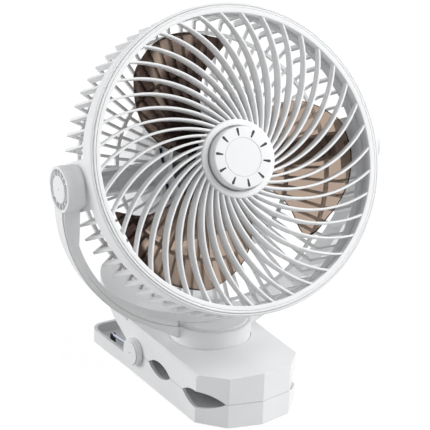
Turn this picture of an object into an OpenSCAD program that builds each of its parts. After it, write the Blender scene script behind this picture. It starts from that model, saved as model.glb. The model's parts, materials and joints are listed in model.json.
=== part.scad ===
// Clip-on camping fan, about 8 inch class: a round head with a curved-rib front grille,
// tilting in a U-shaped yoke that swivels on a spring clamp, which also serves as a foot.
// Millimetres. The origin is on the swivel axis, at the underside of the foot; the front faces -Y.

/* [Head] */
// Outer radius of the front grille, where it meets its housing
grille_r = 101; // [95:1:106]
// Width of the front ring's face
ring_w = 5; // [4:0.5:9]
// Thickness of the front ring's face
ring_t = 2.6; // [2:0.2:4]
// Depth of the skirt behind the front ring
skirt_depth = 6; // [4:0.5:9]
// Number of curved ribs
rib_count = 40; // [24:1:48]
// Thickness of a curved rib
rib_t = 1.6; // [1.2:0.1:2.2]
// Depth of a curved rib halfway out
rib_depth = 9; // [7:0.5:10]
// Radius that a rib is bent to
rib_bend_r = 83.5; // [80:0.5:90]
// Distance of a rib's bend centre from the fan's axis
rib_bend_off = 72.4; // [68:0.2:76]
// Outer radius of the hub ring that the ribs end in
hub_ring_r = 26; // [24.5:0.5:32]
// How far the hub ring stands in front of the front ring
hub_ring_rise = 2.5; // [1:0.5:5]
// Radius of the round cap in the middle
cap_r = 20.5; // [18:0.5:21]
// How far the cap stands in front of the front ring
cap_rise = 9.6; // [5:0.1:12]
// Number of dark marks round the cap
mark_count = 10; // [6:1:16]
// Length of a mark
mark_l = 5.4; // [3:0.2:7]

/* [Rear guard] */
// Width of the rim round the front grille
rim_w = 1.8; // [1.4:0.1:2.4]
// Depth of the plain band behind the front grille
band_depth = 20; // [14:1:24]
// Wall thickness of the band
band_t = 2.2; // [1.8:0.1:3]
// Depth of the corners where the rear grille's bars bend inwards
cage_depth = 51.5; // [48:0.5:56]
// Number of places for bars round the rear grille
bar_count = 62; // [40:2:72]
// Thickness of a bar
strip_t = 1.7; // [1.2:0.1:2.2]
// Depth of a bar's section
strip_w = 4; // [3:0.5:5]
// Half angle of the plain side panels at the pivots
panel_half = 9.5; // [8:0.5:11]
// Depth of the side panels' rear edge
panel_depth = 49; // [48:0.5:51]
// Radius of the outer hoop of the rear grille
hoop_r = 89.5; // [84:0.5:93]
// Radius of the middle hoop of the rear grille
mid_hoop_r = 61.5; // [56:0.5:66]
// How much deeper the middle hoop lies than the bars' corners
dish_rise = 5.5; // [4:0.5:7]
// Number of ribs in the inner row of the rear grille
inner_rib_count = 52; // [30:2:60]

/* [Fan and motor] */
// Radius of the fan blades
blade_r = 91.2; // [80:0.5:93]
// Thickness of a blade
blade_t = 1.5; // [1.2:0.1:2.5]
// Number of blades
blade_count = 3; // [3:1:4]
// Depth of a blade's leading edge behind the front
blade_front = 14; // [13:0.5:16]
// Depth that a blade runs through at its root
blade_run = 22; // [14:1:24]
// Radius of the fan's hub
fan_hub_r = 30; // [29:0.5:36]
// Depth of the fan hub's front behind the front
fan_hub_front = 12; // [11.5:0.5:14]
// Length of the fan's hub
fan_hub_l = 26; // [25.5:0.5:27]
// Radius of the steel rotor cup
rotor_r = 24; // [22:0.5:25]
// Radius of the motor's shaft
shaft_r = 1.5; // [1.2:0.1:2]
// Outer radius of the motor's ball bearings
bearing_r = 4; // [3.5:0.25:5]
// Width of a ball bearing
bearing_w = 4; // [3:0.5:5]

/* [Pod] */
// Radius of the round pod that holds the cells
pod_r = 46; // [45.5:0.5:52]
// Radius of the pod's front face
pod_front_r = 36; // [33:0.5:38]
// Depth of the pod's front face
pod_front = 54.5; // [53:0.5:57]
// Depth of the seam between the pod's two shells
pod_seam = 72; // [71:0.5:74]
// Depth of the pod's rear face
pod_end = 98; // [97.5:0.5:104]
// Wall thickness of the pod
pod_t = 2.4; // [2:0.2:2.8]
// Diameter of a battery cell
cell_d = 18.4; // [17:0.2:18.6]
// Length of a battery cell
cell_l = 65; // [60:0.5:65.5]
// Radius of the power button
button_r = 9; // [7:0.5:11]
// Travel of the power button
button_travel = 0.8; // [0.5:0.1:1]

/* [Yoke] */
// Distance of the tilt axis behind the front
pivot_depth = 32.9; // [32:0.1:34]
// How far the head is tilted back
head_tilt = 28.7; // [0:0.1:60]
// How far the yoke is turned, seen from above
head_yaw = -5.1; // [-90:0.1:90]
// How far the middle of the yoke's arch lies below the tilt axis
arch_drop = 4; // [3:0.5:6]
// Clearance between the swinging head and the yoke
head_gap = 1.2; // [1:0.1:3]
// Radial thickness of the yoke's inner shell at the bottom
inner_t = 3.5; // [3.2:0.1:4.2]
// Radial thickness of the yoke's outer shell at the bottom
outer_t = 3.7; // [3.6:0.1:4.6]
// Thickness of the inner shell in the arms
arm_inner_t = 6.1; // [5.8:0.1:7]
// Thickness of the outer shell in the arms
arm_outer_t = 6.1; // [5.9:0.1:7]
// Width of the yoke from front to back
yoke_w = 16; // [15:0.5:18]
// Thickness of the trim strip on the outside
trim_t = 1.6; // [1.2:0.1:1.8]
// Width of the trim strip
trim_w = 12.2; // [10:0.2:12.6]
// Width of the shadow groove on either side of the trim strip
groove_w = 1; // [0.6:0.1:1.1]
// Distance from the middle to where the arch runs out towards the turret
flare_x = 50; // [44:1:51]
// Slope at which it runs out
flare_slope = 30; // [30:0.5:36]
// Radius of a pivot boss
boss_r = 15.4; // [15:0.2:18]
// Radius of the trunnions that the head tilts on
trunnion_r = 6; // [5:0.25:7]

/* [Neck] */
// Radius of the turret
turret_r = 27.5; // [26:0.5:30]
// Height of the turret's top above the table
turret_top = 49.5; // [49:0.5:51]
// Radius of the spigot that the turret turns on
spigot_r = 12; // [10:0.5:14]
// Radius of the swivel bolt
bolt_r = 3; // [2.5:0.25:4]

/* [Clamp] */
// Half width of the clamp
jaw_half = 38.8; // [36:0.2:44]
// Height of the clamp's side walls above the table
jaw_h = 35.5; // [34.7:0.1:36.2]
// How much higher the clamp's top is along its middle
ridge_h = 2.7; // [1:0.1:3]
// Distance from the swivel axis to the tip of the prow
prow_y = 70.6; // [68:0.2:80]
// Distance from the swivel axis to the ends of the prow's front faces
shoulder_y = 65.4; // [63:0.1:67]
// Half width of the prow's front faces
shoulder_x = 23.55; // [20:0.05:28]
// Distance from the swivel axis to where the slanted corners start
cheek_y = 48.05; // [46:0.05:54]
// Wall thickness of the jaws
jaw_t = 2.4; // [2:0.1:3]
// Height of the seam between the jaws
seam_z = 17.45; // [17:0.05:18]
// Gap between the closed jaws
seam_gap = 0.3; // [0.2:0.05:0.5]
// Distance from the swivel axis back to the clamp's hinge
hinge_y = 30.3; // [30:0.1:34]
// Radius of the hinge pin
pin_r = 3; // [2:0.25:3.5]
// Radius of the round knobs at the hinge
knob_r = 9.4; // [8:0.2:12]
// Height of a knob
knob_h = 5; // [4:0.5:7]
// Length of the lower lever behind the swivel axis
tray_y = 92; // [86:1:96]
// Half width of the lower lever at its rear end
tray_half = 40.2; // [38.8:0.1:42]
// Height of the lower lever's walls above the table
tray_h = 9.6; // [9:0.1:10.5]
// Length of the sloping handle, measured level
handle_run = 31.6; // [24:0.2:36]
// Slope of the handle
handle_slope = 36; // [30:0.5:40]
// Thickness of the handle
handle_t = 5.5; // [4:0.5:7]
// Radius of the spring wire
wire_r = 1; // [0.8:0.1:1.2]
// Mean radius of the spring's coil
coil_r = 5.6; // [5.2:0.1:6]

/* [Hidden] */
$fn = 96;

// Clearances
fit = 0.05;             // running fit between a round part and its hole
slack = 0.3;            // between loose parts that don't touch
seat = 0.1;             // between faces that lie on each other
lap = 0.6;              // how far joined shapes run into each other

// Head
ring_in = grille_r - ring_w;
rim_r = grille_r + rim_w;
band_out = rim_r - 2.4;
band_in = band_out - band_t;
skirt_r = band_in - seat;
pitch = 360 / bar_count;
bar_in = band_out - strip_w;
dish_depth = cage_depth + dish_rise;
hoop_w = 2.2;
hoop_t = 3;
sleeve_t = 2;
sleeve_l = 6;
spoke_half = 9;
spoke_front = 44;
pad_x = grille_r - 0.1;          // outer face of the head's round side pads
pad_r = 14;
ring_gap_x = 0.6;                // friction ring's space between head and yoke
boss_in = pad_x + ring_gap_x;    // inner face of the arms and bosses
joint_x = boss_in + arm_inner_t; // joint between the arms' two shells
boss_x = joint_x + arm_outer_t;  // outer face of a boss
trunnion_end = boss_x - 5.9;

// Motor stack, all as depths behind the front
rotor_front = fan_hub_front + 3;
rotor_back = fan_hub_front + fan_hub_l;
motor_seat = 44;
air_gap = 0.5;
tube_r = bearing_r + 2;
base_t = 3;
base_r = 22;
motor_screw_r = base_r - 5;

// Pod
pod_in = pod_r - pod_t;
port_w = 9.4;
port_h = 3.6;
port_y = -24;
button_y = 8;
lens_y = -8;
pod_screw_r = pod_in - 3.4;
cells_depth = dish_depth + 10.2 + cell_d / 2;
board_depth = cells_depth + cell_d / 2 + 1.3;
board_t = 1.6;
board_w = 40;
board_l = 50;
switch_t = 1.6;
switch_w = 6;
cradle_l = cell_l - 11;
cradle_h = 8;
dish_rim = button_r - 2.6;       // finger dish in the power button
dish_h = 0.8;

// Yoke
swing_r = norm([rim_r, pivot_depth - 1.4]);
yoke_in = norm([boss_in, sqrt(pow(swing_r + head_gap, 2) - pow(boss_in, 2)) - arch_drop]);
joint_r = yoke_in + inner_t;
yoke_r = joint_r + outer_t;
pivot_z = turret_top - 0.1 + yoke_in + arch_drop;
yoke_half = yoke_w / 2;
arm_screw_z = boss_r + 6.6;
arm_screw_y = 4;
rail_drop = 0.8;                 // how far the outer shell lies below the trim strip
trim_floor = trim_t + 0.4;
cap_seat_r = 13.5;
saddle_r = turret_r - 2;
saddle_z = turret_top - 0.1 - inner_t + 0.6;
bowl_z = turret_top - 0.4;
bolt_seat = saddle_z - 2;
neck_screw_x = saddle_r - 6.4;

// Neck
well_z = 35;
ring_h = 0.7;
turret_z = well_z + ring_h + seat;
spigot_top = turret_z + 3.8;
roof_in = well_z - 2.6;
washer_t = 0.8;
nut_h = 4.8;
washer_z = roof_in - seat - washer_t;
nut_z = washer_z - seat - nut_h;
bolt_end = nut_z - 1;

// Clamp
upper_z = seam_z + seam_gap / 2;
lower_z = seam_z - seam_gap / 2;
foot_z = 0.4;
pocket_z = 8;
cell_floor = 5.6;
grip_back = 20;
grip_top = 25;
ear_r = 7.5;
ear_t = 3;
lower_ear = jaw_half - jaw_t - slack - ear_t;
upper_ear = 10;
tray_floor = foot_z + jaw_t;
handle_y = 59;
handle_z = 28.5;
handle_corner = 13;
tray_corner = 10;
open_angle = 30;

// Leaf-shaped channels across the jaws: centre, half chord, rise and fall from the seam
leaves = [[-0.9, 14.2, 5.4, 5.5], [-47.5, 16.4, 5.9, 6.2]];
grip_screw_x = jaw_half - 12.8;
grip_screw_ys = [for (leaf = leaves) leaf[0] + leaf[1] + 0.5];
base_screw_x = jaw_half - 16.8;
base_screw_ys = [leaves[1][0] + 7.5, hinge_y - 10.5];

function unit(v) = v / norm(v);
function arc(x, y, r, from, to, n = 8) =
    [for (i = [0:n]) let (a = from + (to - from) * i / n) [x + r * cos(a), y + r * sin(a)]];
// Moves every side of a convex outline inwards by d
function inset(p, d) = [for (i = [0:len(p) - 1])
    let (n = len(p), u = unit(p[i] - p[(i + n - 1) % n]), v = unit(p[(i + 1) % n] - p[i]),
        a = [-u[1], u[0]], b = [-v[1], v[0]])
    p[i] + d * (a + b) / (1 + a * b)];
// Turn about a rib's bend centre at which the rib reaches radius r
function rib_turn(r) = acos((r * r - rib_bend_off * rib_bend_off - rib_bend_r * rib_bend_r)
    / (2 * rib_bend_off * rib_bend_r));

// Places children in the head's frame: origin at the middle of the front, +Z forwards, +Y up
module at_head() {
    translate([0, 0, pivot_z]) rotate([0, 0, head_yaw]) rotate([90 - head_tilt, 0, 0])
        translate([0, 0, pivot_depth]) children();
}

// Places children in the yoke's frame: origin where the tilt and swivel axes cross
module at_yoke() {
    translate([0, 0, pivot_z]) rotate([0, 0, head_yaw]) children();
}

// Round bar along the axis from depth a to depth b
module bar(r, a, b) {
    translate([0, 0, -b]) cylinder(r = r, h = b - a);
}

// Ring along the axis from depth a to depth b
module tube(r_out, r_in, a, b) {
    difference() {
        bar(r_out, a, b);
        bar(r_in, a - 1, b + 1);
    }
}

// Round bar along X from x = a to x = b
module x_bar(r, a, b) {
    translate([a, 0, 0]) rotate([0, 90, 0]) cylinder(r = r, h = b - a);
}

// Copies to both sides of the head or yoke
module both_sides() {
    children();
    mirror([1, 0, 0]) children();
}

// ---- Head: front grille ----

module curved_ribs() {
    first = -13.2;
    swing = 57.4;
    a_in = rib_turn(cap_r + 2);
    a_out = rib_turn(ring_in + 1);
    for (i = [0:rib_count - 1])
        rotate([0, 0, first + swing + i * 360 / rib_count])
            translate([rib_bend_off, 0, 0]) rotate([0, 0, -a_in])
                rotate_extrude(angle = a_in - a_out)
                    translate([rib_bend_r - rib_t / 2, -rib_depth - 3])
                        square([rib_t, rib_depth + 12]);
}

module front_grille() {
    hub_back = 7;
    color("whitesmoke") at_head() {
        rotate_extrude() polygon([[ring_in, 0], [grille_r - seat, 0], [grille_r - seat, -ring_t],
            [skirt_r, -ring_t], [skirt_r, -skirt_depth], [ring_in, -skirt_depth]]);
        rotate_extrude() polygon([[0, -3], [cap_r + 0.7, -3], [cap_r + 0.7, hub_ring_rise - 0.8],
            [cap_r + 1.5, hub_ring_rise], [hub_ring_r - 1.2, hub_ring_rise],
            [hub_ring_r, hub_ring_rise - 1.2], [hub_ring_r, -hub_back], [cap_r + 2, -hub_back],
            [cap_r + 2, -5], [0, -5]]);
        intersection() {
            curved_ribs();
            rotate_extrude() polygon([[cap_r + 1.2, hub_ring_rise - 1], [ring_in + 0.6, -0.4],
                [ring_in + 0.6, -skirt_depth + 0.4], [(ring_in + hub_ring_r) / 2, -rib_depth],
                [cap_r + 1.2, -hub_back + 0.5]]);
        }
    }
}

module mark_shape(grow) {
    half = 1 + grow;
    start = cap_r - 0.9 - mark_l - grow;
    polygon(concat([[start, -0.5 - grow]], arc(cap_r - 0.9 + grow - half, 0, half, -90, 90, 6),
        [[start, 0.5 + grow]]));
}

module marks(grow, from, to) {
    for (i = [0:mark_count - 1])
        rotate([0, 0, 20 + i * 360 / mark_count]) translate([0, 0, from])
            linear_extrude(to - from) mark_shape(grow);
}

module hub_cap() {
    wall = 1.8;
    color("white") at_head() difference() {
        rotate_extrude() polygon([[0, -3 + seat], [cap_r, -3 + seat], [cap_r, cap_rise - 0.8],
            [cap_r - 0.8, cap_rise], [0, cap_rise]]);
        bar(cap_r - wall, -cap_rise + wall + 1, 4);
        marks(0, cap_rise - 1.2, cap_rise + 1);
    }
}

module cap_marks() {
    color("black") at_head() marks(-0.05, cap_rise - 1.15, cap_rise);
}

// ---- Head: guard ----

module side_panel() {
    tall = band_out * sin(panel_half);
    intersection() {
        tube(band_out, band_in, band_depth - 1, panel_depth);
        translate([0, -tall, -panel_depth]) cube([rim_r, 2 * tall, panel_depth]);
    }
    translate([0, 0, -pivot_depth]) x_bar(pad_r, band_in + 0.4, pad_x);
    translate([0, 0, -pivot_depth]) x_bar(trunnion_r, pad_x - 1, trunnion_end);
}

module guard_band() {
    color("gainsboro") at_head() difference() {
        union() {
            rotate_extrude() polygon([[grille_r + seat, -1], [grille_r + seat, -ring_t - seat],
                [band_in, -ring_t - seat], [band_in, -band_depth], [band_out, -band_depth],
                [band_out, -7], [rim_r, -4.6], [rim_r, -1.4], [rim_r - 0.9, -0.5],
                [grille_r + 0.6, -0.5]]);
            both_sides() side_panel();
        }
        translate([0, 0, -pivot_depth]) both_sides()
            x_bar(1.8, pad_x - 8, trunnion_end + 1);
    }
}

// Flat rib that stands on the rear grille, drawn as depth against radius
module dish_rib(a, points) {
    rotate([0, 0, a]) rotate([90, 0, 0]) translate([0, 0, -strip_t / 2])
        linear_extrude(strip_t) polygon(points);
}

module hoop(r, depth) {
    tube(r + hoop_w / 2, r - hoop_w / 2, depth - hoop_t / 2, depth + hoop_t / 2);
}

module pod_front_shell() {
    boss = base_r + 4;
    rotate_extrude() polygon([[0, -pod_front], [pod_front_r - 1, -pod_front],
        [pod_front_r, -pod_front - 1], [pod_front_r + 1, -dish_depth - 1],
        [pod_r, -dish_depth - 8], [pod_r, -pod_seam], [pod_in, -pod_seam],
        [pod_in, -dish_depth - 9], [pod_front_r - 1.5, -dish_depth - 2],
        [pod_front_r - 2, -pod_front - pod_t], [0, -pod_front - pod_t]]);
    for (i = [0:3]) rotate([0, 0, 90 * i]) translate([pod_screw_r, 0, 0])
        tube(3, 1.1, pod_seam - 4.5, pod_seam);
    tube(boss, boss - pod_t, motor_seat, pod_front + 1);
    tube(boss - 1, 9, motor_seat, motor_seat + pod_t);
}

// Channel-shaped arm from the pod to a side panel
module spoke() {
    wall = 2;
    back = dish_depth + 1;
    difference() {
        intersection() {
            translate([pod_front_r - 4, -spoke_half, -back])
                cube([band_out - pod_front_r, 2 * spoke_half, back - spoke_front]);
            bar(band_in - seat, spoke_front - 1, back + 1);
        }
        translate([pod_front_r - 5, -spoke_half + wall, -back + wall])
            cube([band_in - pod_front_r, 2 * (spoke_half - wall), back]);
        translate([pod_front_r - 5, -spoke_half - 1, -spoke_front - 6])
            cube([mid_hoop_r - pod_front_r + 5, 2 * spoke_half + 2, 20]);
    }
}

// Bar of the rear grille: straight back from the band, then inwards across the dish
module bent_bar(a) {
    off = min(abs(a), abs(a - 180), abs(a - 360));
    dish_rib(a, concat([[mid_hoop_r, -dish_depth + 1.4], [mid_hoop_r, -dish_depth - 1.4],
        [hoop_r, -cage_depth - 3.4]], off < panel_half + pitch / 4
        ? [[hoop_r, -cage_depth - 0.4]]
        : [[band_out, -cage_depth], [band_out, -band_depth - seat], [bar_in, -band_depth - seat],
            [bar_in, -cage_depth + 2.6], [hoop_r, -cage_depth - 0.4]]));
}

module rear_grille() {
    color("gainsboro") at_head() difference() {
        union() {
            for (i = [0:bar_count - 1]) bent_bar((i + 0.5) * pitch);
            for (i = [0:inner_rib_count - 1])
                dish_rib(i * 360 / inner_rib_count, [[pod_front_r - 0.5, -dish_depth + 1.4],
                    [pod_front_r - 0.5, -dish_depth - 1.4], [mid_hoop_r, -dish_depth - 1.4],
                    [mid_hoop_r, -dish_depth + 1.4]]);
            // Sleeve that plugs into the band and carries the bars
            tube(band_in - seat, band_in - seat - sleeve_t, band_depth - sleeve_l, band_depth + 1.5);
            hoop(hoop_r, cage_depth + 2);
            hoop(mid_hoop_r, dish_depth);
            pod_front_shell();
            both_sides() spoke();
        }
        for (i = [0:2])
            rotate([0, 0, 90 + i * 120]) translate([motor_screw_r, 0, -motor_seat - 5])
                cylinder(r = 1.5, h = 10);
        for (s = [-1, 1], x = [-28, -20, 20, 28])
            translate([x - 1.5, s * 12 - 5, -pod_front - 5]) cube([3, 10, 10]);
    }
}

// ---- Head: fan and motor ----

// Point on a blade: u from leading to trailing edge, v from root to tip, w through the thickness
function blade_point(u, v, w) =
    let (a0 = 42 - 68 * u, a1 = 6 - 55 * u, a = a0 + (a1 - a0) * pow(v, 2.3 - 1.3 * u),
        r1 = blade_r - 0.0053 * pow(a1 - 2, 2), r = fan_hub_r - 1 + (r1 - fan_hub_r + 1) * v,
        d = blade_front + (blade_run - 5 * v) * u - 1.6 * sin(180 * u) * (1 - 0.5 * v))
    [r * cos(a), r * sin(a), -d + w];

module blade() {
    nu = 12;
    nv = 9;
    side = (nu + 1) * (nv + 1);
    points = [for (w = [blade_t / 2, -blade_t / 2], j = [0:nv], i = [0:nu])
        blade_point(i / nu, j / nv, w)];
    row = nu + 1;
    quads = concat(
        [for (j = [0:nv - 1], i = [0:nu - 1])
            [j * row + i, j * row + i + 1, (j + 1) * row + i + 1, (j + 1) * row + i]],
        [for (j = [0:nv - 1], i = [0:nu - 1])
            [side + (j + 1) * row + i, side + (j + 1) * row + i + 1, side + j * row + i + 1,
                side + j * row + i]],
        [for (i = [0:nu - 1]) [i + 1, i, side + i, side + i + 1]],
        [for (i = [0:nu - 1]) [nv * row + i, nv * row + i + 1, side + nv * row + i + 1,
            side + nv * row + i]],
        [for (j = [0:nv - 1]) [j * row, (j + 1) * row, side + (j + 1) * row, side + j * row]],
        [for (j = [0:nv - 1]) [(j + 1) * row + nu, j * row + nu, side + j * row + nu,
            side + (j + 1) * row + nu]]);
    polyhedron(points = points, faces = [for (q = quads, t = [[q[0], q[2], q[1]],
        [q[0], q[3], q[2]]]) t], convexity = 6);
}

module impeller() {
    wall = 2;
    front = fan_hub_front;
    back = fan_hub_front + fan_hub_l;
    color([0.35, 0.27, 0.23]) at_head() difference() {
        union() {
            difference() {
                rotate_extrude() polygon([[0, -front], [fan_hub_r - 3, -front],
                    [fan_hub_r, -front - 3], [fan_hub_r, -back], [0, -back]]);
                bar(fan_hub_r - wall, front + wall, back + 1);
            }
            tube(rotor_r + fit + wall, rotor_r + fit, front + 1, back - 2);
            bar(shaft_r + 3, front + 1, rotor_front - seat);
            for (i = [0:blade_count - 1]) rotate([0, 0, i * 360 / blade_count]) blade();
        }
        bar(shaft_r + fit, front + 1.2, back);
    }
}

module rotor_cup() {
    wall = 1.2;
    color("silver") at_head() difference() {
        bar(rotor_r, rotor_front, rotor_back);
        bar(rotor_r - wall, rotor_front + wall, rotor_back + 1);
        bar(shaft_r + fit, rotor_front - 1, rotor_back);
    }
}

module magnet_ring() {
    color("dimgray") at_head()
        tube(rotor_r - 1.2 - fit, rotor_r - 4, rotor_front + 5, rotor_back - 2);
}

module motor_shaft() {
    color("silver") at_head() difference() {
        bar(shaft_r, fan_hub_front + 1.5, motor_seat - base_t + 2.5);
        tube(shaft_r + 1, shaft_r - 0.4, motor_seat - base_t + 1, motor_seat - base_t + 1.7);
    }
}

module shaft_clip() {
    color("dimgray") at_head() difference() {
        tube(shaft_r + 1.5, shaft_r - 0.35, motor_seat - base_t + 1.05, motor_seat - base_t + 1.65);
        translate([-0.5, 0, -motor_seat]) cube([1, 6, 6]);
    }
}

module motor_bearings() {
    color("silver") at_head() for (d = [rotor_front + 2, motor_seat - base_t - bearing_w + 0.8])
        tube(bearing_r, shaft_r + fit, d, d + bearing_w);
}

module motor_base() {
    color("white") at_head() difference() {
        union() {
            bar(tube_r, rotor_front + 2, motor_seat - base_t + 0.5);
            bar(base_r, motor_seat - base_t, motor_seat - seat);
        }
        bar(bearing_r + fit, rotor_front + 1, rotor_front + 2 + bearing_w);
        bar(shaft_r + 1, rotor_front + 1, motor_seat - base_t);
        bar(bearing_r + fit, motor_seat - base_t - bearing_w + 0.8, motor_seat + 1);
        for (i = [0:2])
            rotate([0, 0, 90 + i * 120]) translate([motor_screw_r, 0, 0])
                bar(1.5, motor_seat - 5, motor_seat + 5);
    }
}

module motor_screws() {
    color("silver") at_head() for (i = [0:2])
        rotate([0, 0, 90 + i * 120]) translate([motor_screw_r, 0, 0]) {
            bar(1.4, motor_seat - base_t - 0.5, motor_seat + 2);
            bar(2.6, motor_seat - base_t - 1.6, motor_seat - base_t - 0.1);
        }
}

module stator_core() {
    r = rotor_r - 4 - air_gap;
    a = rotor_front + 8;
    b = rotor_back - 4;
    color("gray") at_head() {
        tube(tube_r + 3, tube_r + fit, a, b);
        for (i = [0:8]) rotate([0, 0, i * 40]) {
            translate([tube_r + 2.6, -1.4, -b]) cube([r - tube_r - 4, 2.8, b - a]);
            intersection() {
                tube(r, r - 2, a, b);
                translate([0, -5, -b - 1]) cube([r + 1, 10, b - a + 2]);
            }
        }
    }
}

module stator_coils() {
    r = rotor_r - 4 - air_gap;
    a = rotor_front + 7;
    b = rotor_back - 3;
    from = tube_r + 3.2;
    wide = r - 2.3 - from;
    color("peru") at_head() for (i = [0:8]) rotate([0, 0, i * 40]) difference() {
        translate([from, -2.4, -b]) cube([wide, 4.8, b - a]);
        translate([from - 1, -1.45, -b + 0.95]) cube([wide + 2, 2.9, b - a - 1.9]);
    }
}

// ---- Pod ----

module pod_cover() {
    color("whitesmoke") at_head() difference() {
        union() {
            difference() {
                rotate_extrude() polygon([[0, -pod_seam - seat], [pod_r, -pod_seam - seat],
                    [pod_r, -pod_end + 3], [pod_r - 3, -pod_end], [0, -pod_end]]);
                bar(pod_in, pod_seam - 1, pod_end - pod_t);
            }
            for (i = [0:3]) rotate([0, 0, 90 * i]) translate([pod_screw_r, 0, 0])
                bar(3, pod_seam + 0.5, pod_end - 1);
        }
        for (i = [0:3]) rotate([0, 0, 90 * i]) translate([pod_screw_r, 0, 0]) {
            bar(1.5, pod_seam - 1, pod_end + 1);
            bar(2.5, pod_end - 2, pod_end + 1);
        }
        translate([0, button_y, 0]) bar(button_r + 0.1, pod_end - 6, pod_end + 1);
        translate([0, lens_y, 0]) bar(1.6, pod_end - 6, pod_end + 1);
        translate([-port_w / 2 - seat, port_y - port_h / 2 - seat, -pod_end - 1])
            cube([port_w + 2 * seat, port_h + 2 * seat, 8]);
    }
}

module pod_screws() {
    color("silver") at_head() for (i = [0:3])
        rotate([0, 0, 90 * i]) translate([pod_screw_r, 0, 0]) {
            bar(1.05, pod_seam - 3.2, pod_end - 1.9);
            bar(2.4, pod_end - 2 + 0.05, pod_end - 0.6);
        }
}

module battery_cells() {
    color("steelblue") at_head() for (x = [-cell_d - 0.2, 0, cell_d + 0.2])
        translate([x, cell_l / 2, -cells_depth]) rotate([90, 0, 0]) {
            cylinder(r = cell_d / 2, h = cell_l);
        }
}

// Tray under the cells, which also carries the control board
module cell_tray() {
    w = 2 * (cell_d + 0.2) + 14;
    top = cells_depth + cell_d / 2;
    color("dimgray") at_head() difference() {
        translate([-w / 2, -cradle_l / 2, -top - 1.2]) cube([w, cradle_l, cradle_h]);
        for (x = [-cell_d - 0.2, 0, cell_d + 0.2])
            translate([x, cell_l / 2, -cells_depth]) rotate([90, 0, 0])
                cylinder(r = cell_d / 2 + 0.1, h = cell_l);
    }
}

module control_board() {
    color("seagreen") at_head()
        translate([-board_w / 2, port_y - 4, -board_depth - board_t])
            cube([board_w, board_l, board_t]);
}

module charge_port() {
    inner = 1.4;
    color("silver") at_head() difference() {
        translate([-port_w / 2, port_y - port_h / 2, -pod_end + 0.4])
            cube([port_w, port_h, pod_end - board_depth - 2.1]);
        translate([-port_w / 2 + 0.5, port_y - port_h / 2 + 0.5, -pod_end - 1])
            cube([port_w - 1, port_h - 1, 5]);
    }
    color("silver") at_head() translate([-2.6, port_y - inner / 4, -pod_end + 1])
        cube([5.2, inner / 2, 4]);
}

module status_lens() {
    color("lightcyan") at_head() translate([0, lens_y, 0])
        bar(1.5, board_depth + board_t + 0.1, pod_end - 0.1);
}

module power_button() {
    face = pod_end + 0.6;
    flange = pod_end - pod_t - 1.4;
    dish_r = (dish_rim * dish_rim + dish_h * dish_h) / (2 * dish_h);
    color("white") at_head() translate([0, button_y, 0]) {
        difference() {
            bar(button_r, flange + 0.4, face);
            translate([0, 0, -face + dish_h - dish_r]) sphere(r = dish_r);
        }
        bar(button_r + 1.2, flange, flange + 1.2);
        bar(2, board_depth + board_t + switch_t + button_travel + seat, flange + 0.4);
    }
}

module button_switch() {
    color("black") at_head() translate([0, button_y, 0])
        translate([-switch_w / 2, -switch_w / 2, -board_depth - board_t - switch_t])
            cube([switch_w, switch_w, switch_t]);
}

// ---- Tilt pivots ----

module pivot_screws() {
    color("silver") at_head() translate([0, 0, -pivot_depth]) both_sides() {
        x_bar(1.75, pad_x - 6, trunnion_end + 1.5);
        x_bar(4.5, trunnion_end + 1.1, trunnion_end + 2.3);
    }
}

module pivot_washers() {
    color("silver") at_head() translate([0, 0, -pivot_depth]) both_sides() difference() {
        x_bar(9, trunnion_end + 0.2, trunnion_end + 1);
        x_bar(2, trunnion_end - 1, trunnion_end + 2);
    }
}

module friction_rings() {
    color("dimgray") at_head() translate([0, 0, -pivot_depth]) both_sides() difference() {
        x_bar(13, pad_x + 0.05, boss_in - seat);
        x_bar(trunnion_r + fit, pad_x - 1, boss_in + 1);
    }
}

module pivot_cap() {
    face = boss_x + 0.3;
    flange = boss_x - 2.2;
    knob_disc_r = 9.3;
    difference() {
        union() {
            x_bar(cap_seat_r - seat, trunnion_end + 0.1, flange);
            x_bar(knob_disc_r, flange - lap, face);
            for (a = [-36, -12, 12, 36, 144, 168, 192, 216])
                rotate([a, 0, 0]) translate([flange - lap, -0.5, knob_disc_r - 1])
                    cube([1.8, 1, cap_seat_r - knob_disc_r + 0.8]);
        }
        x_bar(cap_seat_r - 1.3, trunnion_end - 1, flange - 1.2);
        x_bar(0.7, face - 0.5, face + 1);
    }
}

module pivot_cap_left() {
    color("whitesmoke") at_yoke() mirror([1, 0, 0]) pivot_cap();
}

module pivot_cap_right() {
    color("whitesmoke") at_yoke() pivot_cap();
}

// ---- Yoke ----

// Filled outline of the arch in the plane of the arms, limited to x either side of the middle;
// a flared one runs out towards the turret
module disc(r, x, flared = false) {
    start = arch_drop + sqrt(r * r - flare_x * flare_x);
    run = flare_x - turret_r + 1;
    intersection() {
        translate([0, -arch_drop]) circle(r = r, $fn = 180);
        translate([-x, -r - arch_drop]) square([2 * x, r + arch_drop + 0.5]);
    }
    if (flared) for (s = [-1, 1])
        polygon([[s * flare_x, -start], [s * (turret_r - 1), -start - run * tan(flare_slope)],
            [s * (turret_r - 1), -yoke_in], [s * flare_x, -yoke_in + 20]]);
}

// Slab between two such outlines
module arch_slab(out_r, out_x, in_r, in_x, from, to, out_flared = false, in_flared = false) {
    translate([0, to, 0]) rotate([90, 0, 0]) linear_extrude(to - from) difference() {
        intersection() {
            disc(out_r, out_x, out_flared);
            translate([-out_x, -out_r - 60]) square([2 * out_x, out_r + 60]);
        }
        disc(in_r, in_x, in_flared);
    }
}

module boss_holes() {
    both_sides() {
        x_bar(trunnion_r + fit, boss_in - 1, boss_x);
        x_bar(cap_seat_r, trunnion_end, boss_x + 1);
    }
}

// Upright round bar on the swivel axis, between two heights above the table
module neck_bar(r, from, to) {
    translate([0, 0, from - pivot_z]) cylinder(r = r, h = to - from);
}

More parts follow.
